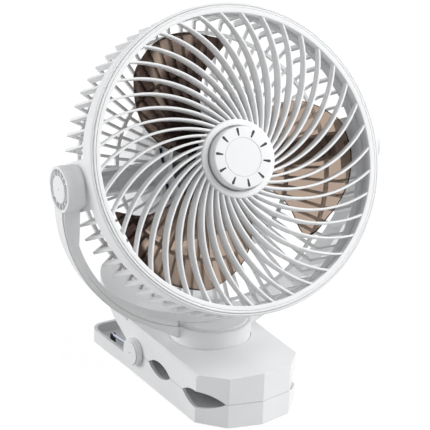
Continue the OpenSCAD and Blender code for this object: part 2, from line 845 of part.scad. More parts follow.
// The two screws in each arm that join the shells
module arm_screws(r, from, to) {
    both_sides() for (s = [-1, 1])
        translate([0, s * arm_screw_y, -arm_screw_z]) x_bar(r, from, to);
}

// The two screws that hold the saddle down on the turret
module neck_screws(r, from, to) {
    for (s = [-1, 1]) translate([s * neck_screw_x, 0, from - pivot_z])
        cylinder(r = r, h = to - from);
}

module yoke_outer() {
    rail_half = trim_w / 2 + groove_w;
    color("whitesmoke") at_yoke() difference() {
        union() {
            difference() {
                arch_slab(yoke_r - rail_drop, boss_x - rail_drop, joint_r, joint_x,
                    -yoke_half, yoke_half, true);
                arch_slab(yoke_r + 3, boss_x + 3, yoke_r - trim_floor, boss_x - trim_floor,
                    -rail_half, rail_half, true, true);
            }
            both_sides() x_bar(boss_r, joint_x, boss_x);
            neck_bar(turret_r, turret_z, turret_top);
        }
        // Room for the inner shell and its saddle
        translate([0, yoke_half + seat, 0]) rotate([90, 0, 0])
            linear_extrude(yoke_w + 2 * seat) intersection() {
                translate([0, -arch_drop]) circle(r = joint_r, $fn = 180);
                translate([-turret_r - 2, -arch_drop - joint_r - 1])
                    square([2 * turret_r + 4, 20]);
            }
        neck_bar(saddle_r + seat, saddle_z - seat, turret_top + 10);
        boss_holes();
        neck_bar(spigot_r + fit, turret_z - 1, spigot_top + seat);
        neck_bar(bolt_r + 0.1, turret_z, turret_top);
        neck_bar(bolt_r + 3.5, bolt_seat, turret_top);
        neck_screws(1.5, turret_z - 1, turret_top);
        neck_screws(2.8, turret_z - 1, turret_z + 2.4);
        for (s = [-1, 1]) translate([0, s * (saddle_r - 6), 0]) neck_bar(5, turret_z - 1, turret_z + 8);
        arm_screws(1.5, joint_x - 1, boss_x);
        arm_screws(2.6, joint_x + 1.4, boss_x);
    }
}

module yoke_inner() {
    color("gainsboro") at_yoke() difference() {
        union() {
            arch_slab(joint_r - seat, joint_x - seat, yoke_in, boss_in,
                0.4 - yoke_half, yoke_half - 0.4);
            both_sides() x_bar(boss_r - 0.4, boss_in, joint_x - seat);
            translate([0, 0, -pivot_z]) rotate_extrude() polygon([[0, saddle_z],
                [saddle_r, saddle_z], [saddle_r, bowl_z + 2.2], [saddle_r - 1.5, bowl_z + 2.2],
                [12, bowl_z], [0, bowl_z]]);
        }
        boss_holes();
        neck_bar(bolt_r + 3.5, bolt_seat, bowl_z - 2);
        neck_screws(1.1, turret_z, bowl_z - 0.6);
        arm_screws(1.1, joint_x - 4.5, joint_x + 1);
        both_sides() translate([saddle_r + 0.2, -yoke_half - 1, turret_top - pivot_z])
            cube([1.8, 3.4, 8]);
    }
}

module yoke_trim() {
    color("white") at_yoke() difference() {
        arch_slab(yoke_r, boss_x, yoke_r - trim_t, boss_x - trim_t, -trim_w / 2, trim_w / 2,
            true, true);
        both_sides() x_bar(boss_r + seat, boss_in, boss_x + 1);
        neck_bar(turret_r + seat, 0, pivot_z);
    }
}

module yoke_screws() {
    color("silver") at_yoke() {
        arm_screws(1.05, joint_x - 4, joint_x + 2);
        arm_screws(2.3, joint_x + 1.45, joint_x + 2.7);
    }
}

// ---- Neck ----

module turret_screws() {
    color("silver") at_yoke() {
        neck_screws(1.05, turret_z + 1, bowl_z - 1);
        neck_screws(2.6, turret_z + 0.6, turret_z + 2.35);
    }
}

module swivel_bolt() {
    color("silver") {
        translate([0, 0, bolt_end]) cylinder(r = bolt_r, h = bolt_seat - bolt_end + 1);
        translate([0, 0, bolt_seat + 0.05]) cylinder(r = bolt_r + 2.4, h = saddle_z - bolt_seat);
    }
}

module swivel_nut() {
    color("silver") difference() {
        union() {
            translate([0, 0, washer_z]) cylinder(r = bolt_r + 6, h = washer_t);
            translate([0, 0, nut_z]) cylinder(r = bolt_r * 1.9, h = nut_h, $fn = 6);
        }
        translate([0, 0, nut_z - 1]) cylinder(r = bolt_r + fit, h = nut_h + washer_t + 3);
    }
}

module swivel_ring() {
    color("dimgray") difference() {
        translate([0, 0, well_z + 0.05]) cylinder(r = turret_r - 1.5, h = ring_h);
        cylinder(r = spigot_r + 1, h = 60);
    }
}

// ---- Clamp ----

function outline(back, corner) = concat([[-jaw_half, hinge_y + 10], [-jaw_half, -cheek_y],
    [-shoulder_x, -shoulder_y], [0, -prow_y], [shoulder_x, -shoulder_y], [jaw_half, -cheek_y],
    [jaw_half, hinge_y + 10]],
    arc(tray_half - corner, back - corner, corner, 0, 90),
    arc(corner - tray_half, back - corner, corner, 90, 180));
function prow(back) = [[-jaw_half, -cheek_y], [-shoulder_x, -shoulder_y], [0, -prow_y],
    [shoulder_x, -shoulder_y], [jaw_half, -cheek_y], [jaw_half, back], [-jaw_half, back]];

// Channel of a leaf, above the seam if up is 1 and below it if up is -1
module leaf_cut(leaf, up, grow) {
    rise = up > 0 ? leaf[2] : leaf[3];
    r = (leaf[1] * leaf[1] / rise + rise) / 2;
    translate([0, leaf[0], seam_z + up * (rise - r)])
        x_bar(r + grow, -jaw_half - 5, jaw_half + 5);
}

module hinge_bore(r) {
    translate([0, hinge_y, seam_z]) x_bar(r, -jaw_half - 5, jaw_half + 5);
}

// Pair of ears that the hinge pin runs through
module ears(x, from, to) {
    both_sides() difference() {
        union() {
            translate([x, hinge_y, seam_z]) x_bar(ear_r, 0, ear_t);
            translate([x, hinge_y - ear_r + 1, from]) cube([ear_t, 2 * ear_r - 2, to - from]);
        }
        hinge_bore(pin_r + fit);
    }
}

module upper_jaw() {
    run = [cos(handle_slope), sin(handle_slope)];
    lift = [-sin(handle_slope), cos(handle_slope)] * handle_t;
    low = [handle_y, handle_z];
    tip = low + run * handle_run / cos(handle_slope);
    root = low + lift + run * (jaw_h - low[1] - lift[1]) / sin(handle_slope);
    color("whitesmoke") difference() {
        union() {
            // Body with its two-plane top
            intersection() {
                translate([0, 0, upper_z]) linear_extrude(60) polygon(prow(root[0]));
                translate([0, root[0], 0]) rotate([90, 0, 0]) linear_extrude(root[0] + prow_y + 1)
                    polygon([[-jaw_half, 0], [jaw_half, 0], [jaw_half, jaw_h - 1.4],
                        [jaw_half - 1.4, jaw_h + 0.1], [0, jaw_h + ridge_h],
                        [1.4 - jaw_half, jaw_h + 0.1], [-jaw_half, jaw_h - 1.4]]);
                rotate([90, 0, 90]) translate([0, 0, -jaw_half - 1])
                    linear_extrude(2 * jaw_half + 2) polygon([[-prow_y - 1, 0],
                        [hinge_y + 12, 0], [hinge_y + 12, 20], low, root, root + [0, 20],
                        [-prow_y - 1, 60]]);
            }
            // Handle
            intersection() {
                rotate([90, 0, 90]) translate([0, 0, -jaw_half])
                    linear_extrude(2 * jaw_half) polygon([low, tip, tip + lift, root,
                        [hinge_y + 14, jaw_h], [hinge_y + 14, jaw_h - 4]]);
                linear_extrude(90) polygon(concat([[-jaw_half, 0], [jaw_half, 0]],
                    arc(jaw_half - handle_corner, tip[0] - handle_corner, handle_corner, 0, 90),
                    arc(handle_corner - jaw_half, tip[0] - handle_corner, handle_corner,
                        90, 180)));
            }
        }
        // Hollow
        difference() {
            translate([0, 0, -1]) linear_extrude(roof_in + 1) polygon(inset(prow(80), jaw_t));
            translate([0, 0, roof_in - 9]) cylinder(r = 8, h = 12);
        }
        for (leaf = leaves) leaf_cut(leaf, 1, 0);
        hinge_bore(pin_r + 0.4);
        translate([0, 0, well_z]) cylinder(r = turret_r + 0.4, h = 20);
        cylinder(r = bolt_r + 0.1, h = 60);
        translate([0, 0, 10]) cylinder(r = bolt_r + 6.5, h = roof_in - 10);
    }
    // Spigot that the turret turns on
    color("whitesmoke") difference() {
        translate([0, 0, well_z - lap]) cylinder(r = spigot_r, h = spigot_top - well_z + lap);
        cylinder(r = bolt_r + 0.1, h = 60);
    }
    // Hinge ears and bosses for the grip's screws
    color("whitesmoke") ears(upper_ear, seam_z, roof_in + 1);
    color("whitesmoke") for (s = [-grip_screw_x, grip_screw_x], y = grip_screw_ys) difference() {
        translate([s, y, grip_top + seat]) cylinder(r = 3.4, h = roof_in - grip_top);
        translate([s, y, 0]) cylinder(r = 1.2, h = roof_in);
    }
}

module grip_block(from, to, up) {
    difference() {
        translate([0, 0, from]) linear_extrude(to - from) intersection() {
            polygon(inset(prow(80), jaw_t + 0.2));
            translate([-jaw_half, -prow_y - 1])
                square([2 * jaw_half, prow_y + 1 + grip_back]);
        }
        for (leaf = leaves) leaf_cut(leaf, up, 0.5);
    }
}

module upper_grip() {
    color("darkgray") difference() {
        grip_block(upper_z + 0.1, grip_top, 1);
        for (s = [-grip_screw_x, grip_screw_x], y = grip_screw_ys) translate([s, y, 0]) {
            cylinder(r = 1.5, h = 60);
            cylinder(r = 3.2, h = grip_top - 3);
        }
    }
}

module grip_screws() {
    color("silver") for (s = [-grip_screw_x, grip_screw_x], y = grip_screw_ys)
        translate([s, y, grip_top - 4.6]) {
            cylinder(r = 1.15, h = 10);
            cylinder(r = 2.6, h = 1.5);
        }
}

module lower_jaw() {
    fall = tan(open_angle + 1.5);
    color("whitesmoke") difference() {
        intersection() {
            translate([0, 0, foot_z]) linear_extrude(40)
                polygon(outline(tray_y, tray_corner));
            rotate([90, 0, 90]) translate([0, 0, -jaw_half - 1]) linear_extrude(2 * jaw_half + 2)
                polygon([[-prow_y - 1, 0], [tray_y + 1, 0], [tray_y + 1, tray_h],
                    [hinge_y + (lower_z - tray_h) / fall, tray_h], [hinge_y, lower_z],
                    [-prow_y - 1, lower_z]]);
        }
        // Upper pocket, open to the tray
        translate([0, 0, pocket_z]) linear_extrude(40)
            polygon(inset(outline(tray_y, tray_corner), jaw_t));
        intersection() {
            translate([0, 0, tray_floor]) linear_extrude(40)
                polygon(inset(outline(tray_y, tray_corner), jaw_t));
            translate([-jaw_half, hinge_y - 2, 0]) cube([2 * jaw_half, tray_y, 40]);
        }
        // Lower pocket, closed by the base cover
        translate([0, 0, -1]) linear_extrude(cell_floor + 1)
            polygon(inset(prow(hinge_y - 4), jaw_t));
        for (leaf = leaves) leaf_cut(leaf, -1, 0);
        hinge_bore(pin_r + 0.4);
    }
    color("whitesmoke") ears(lower_ear, tray_floor - 0.3, seam_z);
    color("whitesmoke") for (s = [-base_screw_x, base_screw_x], y = base_screw_ys) difference() {
        translate([s, y, foot_z + jaw_t + seat]) cylinder(r = 3.4, h = cell_floor - jaw_t);
        translate([s, y, 0]) cylinder(r = 1.2, h = cell_floor + 1);
    }
}

module lower_grip() {
    color("darkgray") grip_block(pocket_z + seat, lower_z - 0.1, -1);
}

module base_cover() {
    color("whitesmoke") difference() {
        translate([0, 0, foot_z]) linear_extrude(jaw_t)
            polygon(inset(prow(hinge_y - 4), jaw_t + 0.15));
        translate([0, 0, -1]) linear_extrude(2.5) polygon(inset(prow(hinge_y - 4), jaw_t + 7));
        for (s = [-base_screw_x, base_screw_x], y = base_screw_ys)
            translate([s, y, -1]) cylinder(r = 1.5, h = 9);
    }
}

module base_screws() {
    color("silver") for (s = [-base_screw_x, base_screw_x], y = base_screw_ys)
        translate([s, y, 0.75]) {
            cylinder(r = 1.15, h = 4.6);
            cylinder(r = 1.45, h = 1);
        }
}

module sole_pad() {
    color("dimgray") difference() {
        linear_extrude(1.4) polygon(inset(prow(hinge_y - 4), jaw_t + 7.2));
        for (s = [-base_screw_x, base_screw_x], y = base_screw_ys)
            translate([s, y, 0.6]) cylinder(r = 2, h = 3);
    }
}

module hinge_pin() {
    color("silver") translate([0, hinge_y, seam_z]) x_bar(pin_r, -jaw_half - 2, jaw_half + 2);
}

module knob() {
    translate([0, hinge_y, seam_z]) difference() {
        union() {
            x_bar(knob_r, jaw_half + slack, jaw_half + knob_h - 1);
            x_bar(knob_r - 1, jaw_half + 1, jaw_half + knob_h);
        }
        x_bar(pin_r + fit, jaw_half - 1, jaw_half + 2.1);
        x_bar(0.6, jaw_half + knob_h - 0.4, jaw_half + knob_h + 1);
    }
}

module knob_left() {
    color("whitesmoke") mirror([1, 0, 0]) knob();
}

module knob_right() {
    color("whitesmoke") knob();
}

// Points along a spring's wire: lower leg, coil, upper leg, as seen from the hinge's middle
leg_x = lower_ear - 2.2;
leg_rise = -5;
leg_end = tray_y - hinge_y - 16;
coil_to = upper_ear + ear_t + 2.6;
coil_turns = 5;
coil_steps = 24;
upper_rise = 20;
upper_leg = 20;
spring_path =
    let (a = leg_rise - 90, b = 90 + upper_rise - 360 * (coil_turns + 1),
        n = coil_steps * coil_turns + 11)
    concat(
        [[leg_x, coil_r * cos(a) + leg_end * cos(leg_rise),
            coil_r * sin(a) + leg_end * sin(leg_rise)]],
        [for (i = [0:n]) let (t = a + (b - a) * i / n)
            [leg_x + (coil_to - leg_x) * i / n, coil_r * cos(t), coil_r * sin(t)]],
        [[coil_to, coil_r * cos(b) + upper_leg * cos(upper_rise),
            coil_r * sin(b) + upper_leg * sin(upper_rise)]]);

module wire(path, r) {
    sides = 8;
    last = len(path) - 1;
    points = [for (i = [0:last])
        let (t = unit(path[min(i + 1, last)] - path[max(i - 1, 0)]),
            u = unit([1, 0, 0] - t[0] * t), v = cross(t, u))
        for (k = [0:sides - 1]) path[i] + r * (u * cos(k * 360 / sides) + v * sin(k * 360 / sides))];
    faces = concat([[for (k = [0:sides - 1]) k]],
        [for (i = [0:last - 1], k = [0:sides - 1]) let (m = (k + 1) % sides)
            [i * sides + k, i * sides + sides + k, i * sides + sides + m, i * sides + m]],
        [[for (k = [sides - 1:-1:0]) last * sides + k]]);
    polyhedron(points = points, faces = faces, convexity = 10);
}

module clamp_springs() {
    color("slategray") both_sides()
        translate([0, hinge_y, seam_z]) wire(spring_path, wire_r);
}

module spring_anchors() {
    end_y = hinge_y + leg_end;
    color("dimgray") both_sides() difference() {
        translate([leg_x - 1.5, end_y - 2.4, tray_floor + seat])
            cube([4.2, 3, tray_h - 0.3 - tray_floor]);
        translate([leg_x, hinge_y + coil_r * cos(leg_rise - 90), seam_z + coil_r * sin(leg_rise - 90)])
            rotate([-90 + leg_rise, 0, 0]) cylinder(r = wire_r + 0.1, h = 80);
    }
}

front_grille();
hub_cap();
cap_marks();
guard_band();
rear_grille();
pod_cover();
pod_screws();
battery_cells();
cell_tray();
control_board();
charge_port();
status_lens();
power_button();
button_switch();
impeller();
rotor_cup();
magnet_ring();
motor_shaft();
shaft_clip();
motor_bearings();
motor_base();
motor_screws();
stator_core();
stator_coils();
pivot_screws();
pivot_washers();
friction_rings();
pivot_cap_left();
pivot_cap_right();
yoke_outer();
yoke_inner();
yoke_trim();
yoke_screws();
turret_screws();
swivel_bolt();
swivel_nut();
swivel_ring();
upper_jaw();
upper_grip();
grip_screws();
lower_jaw();
lower_grip();
base_cover();
base_screws();
sole_pad();
hinge_pin();
knob_left();
knob_right();
clamp_springs();
spring_anchors();
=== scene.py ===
import json
import math

import bmesh
import bpy
from mathutils import Matrix, Vector


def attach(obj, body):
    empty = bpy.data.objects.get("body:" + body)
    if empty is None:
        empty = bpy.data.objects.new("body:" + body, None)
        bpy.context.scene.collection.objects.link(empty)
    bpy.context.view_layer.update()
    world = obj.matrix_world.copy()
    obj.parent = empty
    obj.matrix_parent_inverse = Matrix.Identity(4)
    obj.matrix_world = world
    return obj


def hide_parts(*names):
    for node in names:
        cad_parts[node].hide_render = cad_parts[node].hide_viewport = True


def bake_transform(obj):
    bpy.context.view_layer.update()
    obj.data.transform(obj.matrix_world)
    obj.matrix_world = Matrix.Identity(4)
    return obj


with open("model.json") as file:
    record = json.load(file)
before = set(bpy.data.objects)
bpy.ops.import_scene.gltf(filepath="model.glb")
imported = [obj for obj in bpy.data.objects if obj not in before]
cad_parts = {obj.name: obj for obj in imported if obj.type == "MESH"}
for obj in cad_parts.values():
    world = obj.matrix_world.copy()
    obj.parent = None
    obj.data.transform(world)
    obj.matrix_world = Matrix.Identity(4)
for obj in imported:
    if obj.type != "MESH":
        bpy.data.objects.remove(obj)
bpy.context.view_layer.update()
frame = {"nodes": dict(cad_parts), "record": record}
nodes = frame["nodes"]
print("frame loaded")

view = {
    "azimuth": -32.14,  # degrees, 0 looks along +Y
    "elevation": 25.02,
    "roll": 2.53,
    "target": (0.00027, 0.0, 0.12341),  # metres
    "distance": 2.65592,
    "focal": 4012.51,  # pixels
    "width": 430,  # pixels
    "sensor": 36,  # mm
    "clip": (0.05, 50),  # metres
}


def addObject(name, data):
    obj = bpy.data.objects.new(name, data)
    bpy.context.scene.collection.objects.link(obj)
    return obj


def makeCamera(v):
    a, e, t = (math.radians(v[k]) for k in ("azimuth", "elevation", "roll"))
    back = Vector((math.sin(a) * math.cos(e), -math.cos(a) * math.cos(e), math.sin(e)))
    right = Vector((math.cos(a), math.sin(a), 0))
    up = back.cross(right)
    x = right * math.cos(t) + up * math.sin(t)
    y = up * math.cos(t) - right * math.sin(t)
    data = bpy.data.cameras.new("camera")
    data.sensor_width = v["sensor"]
    data.lens = v["focal"] / v["width"] * v["sensor"]
    data.clip_start, data.clip_end = v["clip"]
    cam = addObject("camera", data)
    spot = Vector(v["target"]) + back * v["distance"]
    cam.matrix_world = Matrix((
        (x.x, y.x, back.x, spot.x), (x.y, y.y, back.y, spot.y), (x.z, y.z, back.z, spot.z), (0, 0, 0, 1)))
    bpy.context.scene.camera = cam


makeCamera(view)
print("camera set")


def linear(hexText):
    # sRGB hex colour to linear
    out = []
    for k in (0, 2, 4):
        c = int(hexText[k:k + 2], 16) / 255
        out.append(c / 12.92 if c <= 0.04045 else ((c + 0.055) / 1.055) ** 2.4)
    return (*out, 1)


def shade(colour, k):
    return (*[min(1, c * k) for c in colour[:3]], 1)


def addNode(tree, kind, settings=None, links=None):
    # settings: socket, attribute or "stops" of a ramp -> value
    # links: socket name or number -> the node that feeds it, or one of its outputs
    node = tree.nodes.new(kind)
    for key, value in (settings or {}).items():
        if key == "stops":
            for stop, (at, colour) in zip(node.color_ramp.elements, value):
                stop.position, stop.color = at, colour
        elif key in node.inputs:
            node.inputs[key].default_value = value
        else:
            setattr(node, key, value)
    for key, source in (links or {}).items():
        tree.links.new(source.outputs[0] if hasattr(source, "outputs") else source, node.inputs[key])
    return node


def newMaterial(name):
    mat = bpy.data.materials.new(name)
    mat.use_nodes = True
    tree = mat.node_tree
    tree.nodes.clear()
    return mat, tree, {"Vector": addNode(tree, "ShaderNodeTexCoord").outputs["Object"]}


def mouldedPlastic(name, hexText, rough=0.36, grainMm=0.5, grain=0.05, softenMm=0.35):
    # ABS from a steel mould: an even colour with faint clouds, a slightly patchy sheen and a fine grain,
    # which is drawn coarser than the real 0.1 mm so that it shows
    # softenMm: radius at which its edges catch the light
    mat, tree, place = newMaterial(name)
    base = linear(hexText)
    cloudMm, sheenMm = 38, 6
    clouds = addNode(tree, "ShaderNodeTexNoise", {"Scale": 1000 / cloudMm, "Detail": 4}, place)
    tint = addNode(tree, "ShaderNodeValToRGB",
                   {"stops": [(0.3, shade(base, 0.975)), (0.7, shade(base, 1.02))]}, {"Fac": clouds})
    patches = addNode(tree, "ShaderNodeTexNoise", {"Scale": 1000 / sheenMm, "Detail": 5}, place)
    sheen = addNode(tree, "ShaderNodeMapRange", {"To Min": rough - 0.05, "To Max": rough + 0.06},
                    {"Value": patches})
    grit = addNode(tree, "ShaderNodeTexNoise", {"Scale": 1000 / grainMm, "Detail": 2}, place)
    edges = addNode(tree, "ShaderNodeBevel", {"Radius": softenMm / 1000, "samples": 4})
    bump = addNode(tree, "ShaderNodeBump", {"Strength": grain, "Distance": 0.0001},
                   {"Height": grit, "Normal": edges})
    shader = addNode(tree, "ShaderNodeBsdfPrincipled", {"IOR": 1.5},
                     {"Base Color": tint, "Roughness": sheen, "Normal": bump})
    addNode(tree, "ShaderNodeOutputMaterial", links={0: shader})
    return mat


def smokyPlastic(name, hexText, clearHex, slantShadeHex, cover):
    # tinted clear AS with a polished face: what lies behind shows in brown, darker at a slant, which is a
    # painted shade for the shadowed parts seen through it, partly also the longer path through the plastic
    # clearHex: tint seen straight through; slantShadeHex: the darker tint at a slant, painted shade
    # cover: share of the light that the surface itself sends back
    mat, tree, place = newMaterial(name)
    base = linear(hexText)
    cloudMm, sheenMm, waveMm = 25, 5, 9
    facing = (0.22, 0.29)  # from straight on to a slant, over which the painted shade comes in
    inShadow = 0.35  # share of the lamps' light that it lets through
    clouds = addNode(tree, "ShaderNodeTexNoise", {"Scale": 1000 / cloudMm, "Detail": 3}, place)
    tint = addNode(tree, "ShaderNodeValToRGB",
                   {"stops": [(0.3, shade(base, 0.92)), (0.7, shade(base, 1.08))]}, {"Fac": clouds})
    patches = addNode(tree, "ShaderNodeTexNoise", {"Scale": 1000 / sheenMm, "Detail": 3}, place)
    sheen = addNode(tree, "ShaderNodeMapRange", {"To Min": 0.14, "To Max": 0.24}, {"Value": patches})
    waves = addNode(tree, "ShaderNodeTexNoise", {"Scale": 1000 / waveMm, "Detail": 2}, place)
    bump = addNode(tree, "ShaderNodeBump", {"Strength": 0.05, "Distance": 0.0002}, {"Height": waves})
    shader = addNode(tree, "ShaderNodeBsdfPrincipled",
                     links={"Base Color": tint, "Roughness": sheen, "Normal": bump})
    # painted shade: the tint turns from clearHex to slantShadeHex as the face turns away from straight on
    slant = addNode(tree, "ShaderNodeLayerWeight", {"Blend": 0.5})
    turn = addNode(tree, "ShaderNodeMapRange", {"From Min": facing[0], "From Max": facing[1]},
                   {"Value": slant.outputs["Facing"]})
    seen = addNode(tree, "ShaderNodeValToRGB", {"stops": [(0, linear(clearHex)), (1, linear(slantShadeHex))]},
                   {"Fac": turn})
    path = addNode(tree, "ShaderNodeLightPath")
    passed = addNode(tree, "ShaderNodeValToRGB", {"stops": [(0, (1, 1, 1, 1)), (1, (*[inShadow] * 3, 1))]},
                     {"Fac": path.outputs["Is Shadow Ray"]})
    both = addNode(tree, "ShaderNodeVectorMath", {"operation": "MULTIPLY"}, {0: seen, 1: passed})
    clear = addNode(tree, "ShaderNodeBsdfTransparent", links={"Color": both})
    mix = addNode(tree, "ShaderNodeMixShader", {"Fac": cover}, {1: clear, 2: shader})
    addNode(tree, "ShaderNodeOutputMaterial", links={0: mix})
    return mat


def metal(name, hexText, rough=0.3, grainMm=0.8):
    # drawn or plated metal: a bright reflection broken up by an uneven grain, coarser than the real one
    # so that it shows
    mat, tree, place = newMaterial(name)
    base = linear(hexText)
    grit = addNode(tree, "ShaderNodeTexNoise", {"Scale": 1000 / grainMm, "Detail": 4}, place)
    tint = addNode(tree, "ShaderNodeValToRGB",
                   {"stops": [(0.3, shade(base, 0.85)), (0.7, shade(base, 1.1))]}, {"Fac": grit})
    sheen = addNode(tree, "ShaderNodeMapRange", {"To Min": rough - 0.08, "To Max": rough + 0.1},
                    {"Value": grit})
    bump = addNode(tree, "ShaderNodeBump", {"Strength": 0.08, "Distance": 0.0001}, {"Height": grit})
    shader = addNode(tree, "ShaderNodeBsdfPrincipled", {"Metallic": 1},
                     {"Base Color": tint, "Roughness": sheen, "Normal": bump})
    addNode(tree, "ShaderNodeOutputMaterial", links={0: shader})
    return mat


def softRubber(name, hexText):
    # moulded silicone: matt, with mottled patches and a grain that takes the edge off every highlight,
    # drawn about four times too coarse so that it shows
    mat, tree, place = newMaterial(name)
    base = linear(hexText)
    mottleMm, grainMm = 4, 0.35
    mottle = addNode(tree, "ShaderNodeTexNoise", {"Scale": 1000 / mottleMm, "Detail": 5}, place)
    tint = addNode(tree, "ShaderNodeValToRGB",
                   {"stops": [(0.3, shade(base, 0.9)), (0.7, shade(base, 1.08))]}, {"Fac": mottle})
    grit = addNode(tree, "ShaderNodeTexNoise", {"Scale": 1000 / grainMm, "Detail": 3}, place)
    bump = addNode(tree, "ShaderNodeBump", {"Strength": 0.25, "Distance": 0.0002}, {"Height": grit})
    shader = addNode(tree, "ShaderNodeBsdfPrincipled", {"Roughness": 0.62},
                     {"Base Color": tint, "Normal": bump})
    addNode(tree, "ShaderNodeOutputMaterial", links={0: shader})
    return mat


looks = {
    "marks": mouldedPlastic("black_moulded_plastic", "17141a", 0.5, 0.4, 0.1, 0.1),
    # the third colour of the smoky material is its painted shade at a slant
    "blades": smokyPlastic("smoky_brown_plastic", "5a4438", "dacec4", "877b77", 0.09),
    "steel": metal("zinc_plated_steel", "b9bcc0"),
    "spring_steel": metal("spring_wire_steel", "c3cad6", 0.3, 0.4),
    "magnet": mouldedPlastic("ferrite", "2b2b2e", 0.7, 0.6, 0.2, 0.1),
    "copper": metal("enamelled_copper", "b5652c", 0.25, 0.3),
    "cells": mouldedPlastic("cell_wrap", "2f6ea5", 0.3, 0.8, 0.03, 0.1),
    "black_plastic": mouldedPlastic("dark_moulded_plastic", "33343a", 0.5, 0.4, 0.1, 0.1),
    "board": mouldedPlastic("circuit_board_mask", "1f6b3a", 0.35, 0.8, 0.1, 0.1),
    "lens": mouldedPlastic("clear_light_pipe", "dfeef2", 0.15, 0.8, 0.02, 0.1),
    "rubber": softRubber("soft_grey_rubber", "c4c6c8"),
    "body": mouldedPlastic("white_moulded_plastic", "eeeff0", 0.46),
}
for row in frame["record"]["subparts"]:
    piece = nodes[row["node"]]
    piece.data.materials.clear()
    piece.data.materials.append(looks[row["material_slot"]])
print("materials assigned")

pole = 0.001  # mm, radius that stands for the axis in a turned profile
head = {"pivotHeight": 160.75, "yaw": -5.1, "tilt": 28.7, "pivotDepth": 32.9}  # mm and degrees


def headPlace():
    # from the head's own frame, with its front in the plane z = 0, to the row frame
    return (Matrix.Translation((0, 0, head["pivotHeight"]))
            @ Matrix.Rotation(math.radians(head["yaw"]), 4, "Z")
            @ Matrix.Rotation(math.radians(90 - head["tilt"]), 4, "X")
            @ Matrix.Translation((0, 0, head["pivotDepth"])))


def linked(verts, kind):
    # the edges or faces of these vertices, each once and always in the same order
    return list(dict.fromkeys(part for v in verts for part in getattr(v, "link_" + kind)))


def addPiece(name, bm, place, materials, body, nodeName):
    # bm is in millimetres; edges sharper than this many degrees stay crisp
    crisp = 35
    bmesh.ops.remove_doubles(bm, verts=bm.verts, dist=0.001)
    bmesh.ops.transform(bm, matrix=Matrix.Scale(0.001, 4) @ place, verts=bm.verts)
    bmesh.ops.recalc_face_normals(bm, faces=bm.faces)
    for f in bm.faces:
        f.smooth = True
    for e in bm.edges:
        if len(e.link_faces) == 2 and e.calc_face_angle(0) > math.radians(crisp):
            e.smooth = False
    mesh = bpy.data.meshes.new(name)
    bm.to_mesh(mesh)
    bm.free()
    for material in materials:
        mesh.materials.append(material)
    obj = addObject(name, mesh)
    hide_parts(nodeName)
    if body:
        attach(obj, body)
    return obj


def turned(bm, profile, steps=128):
    # ring or disc from a closed profile of (radius, height)
    verts = [bm.verts.new((r, 0, z)) for r, z in profile]
    edges = [bm.edges.new((a, b)) for a, b in zip(verts, verts[1:] + verts[:1])]
    bmesh.ops.spin(bm, geom=verts + edges, cent=(0, 0, 0), axis=(0, 0, 1), angle=math.tau,
                   steps=steps, use_merge=True, use_duplicate=False)


def repeated(bm, verts, count):
    # the shape that these vertices hold, count times round the axis
    bmesh.ops.spin(bm, geom=verts + linked(verts, "edges") + linked(verts, "faces"),
                   cent=(0, 0, 0), axis=(0, 0, 1), angle=math.tau * (count - 1) / count,
                   steps=count - 1, use_duplicate=True)


def rounded(x, z, r, a0, a1, n=3):
    # corner arc round (x, z)
    return [(x + r * math.cos(math.radians(a0 + (a1 - a0) * i / n)),
             z + r * math.sin(math.radians(a0 + (a1 - a0) * i / n))) for i in range(n + 1)]


def roundedBox(bm, place, radius):
    box = bmesh.ops.create_cube(bm, size=1, matrix=place)
    bmesh.ops.bevel(bm, geom=linked(box["verts"], "edges"), offset=radius, segments=2, profile=0.5,
                    affect="EDGES", material=-1)


def swept(bm, rings):
    # skin over rings of points, with both ends closed
    loops = []
    for ring in rings:
        verts = [bm.verts.new(p) for p in ring]
        loops.append([bm.edges.new((a, b)) for a, b in zip(verts, verts[1:] + verts[:1])])
    for one, two in zip(loops, loops[1:]):
        bmesh.ops.bridge_loops(bm, edges=one + two)
    for end in (loops[0], loops[-1]):
        bmesh.ops.edgeloop_fill(bm, edges=end)
    return list(dict.fromkeys(v for loop in loops for e in loop for v in e.verts))


fan = {
    "blades": 3,
    "thickness": 1.5,  # mm, as are the sizes below
    "front": 14,  # depth of the leading edge
    "run": (27, 10),  # how much deeper the trailing edge lies at the root, and how much less at the tip
    "belly": (1.6, 0.5),  # how far the middle bows forwards at the root, and the share of it lost at the tip
    "chord": 75,  # rough lengths of a blade across and outwards, which turn shares of them to mm
    "reach": 60,
    "darkEdge": (0.01, 0.015),  # shares of those lengths that the darker edge takes
    "hub": (30, 12, 26, 2),  # radius, depth of its front, length, wall
    "hubRounding": 3,
    # outline of a blade as radius and angle, from its root forwards, round the rim and back
    "leading": [(29, 44), (37, 42.4), (44.7, 41.2), (52.5, 37.3), (60, 33), (67, 28), (72.5, 23.3),
                (77.5, 18.7), (82.5, 13.7), (85.5, 11), (87.7, 7.1)],
    "rim": [(87.7, 7.1), (89.3, 1.5), (90.8, -3.7), (91.2, -8.6), (90.7, -15), (89.5, -20.1), (88, -25),
            (86, -30), (84.4, -33.7), (83, -38.9), (82.2, -42.4), (81, -44.8)],
    "trailing": [(29, -27), (38, -28.2), (44, -29.6), (50, -31.4), (56, -33.3), (63, -36.6), (70, -41),
                 (75, -44), (78.5, -45.3), (81, -44.8)],
}


def along(points, t):
    # smooth curve through the points, t from 0 to 1
    last = len(points) - 1
    k = min(int(t * last), last - 1)
    f = t * last - k
    a, b, c, d = (Vector(points[min(max(i, 0), last)]) for i in (k - 1, k, k + 1, k + 2))
    return 0.5 * (2 * b + (c - a) * f + (2 * a - 5 * b + 4 * c - d) * f * f
                  + (3 * b - a - 3 * c + d) * f ** 3)


def polar(points):
    return [(r * math.cos(math.radians(a)), r * math.sin(math.radians(a))) for r, a in points]


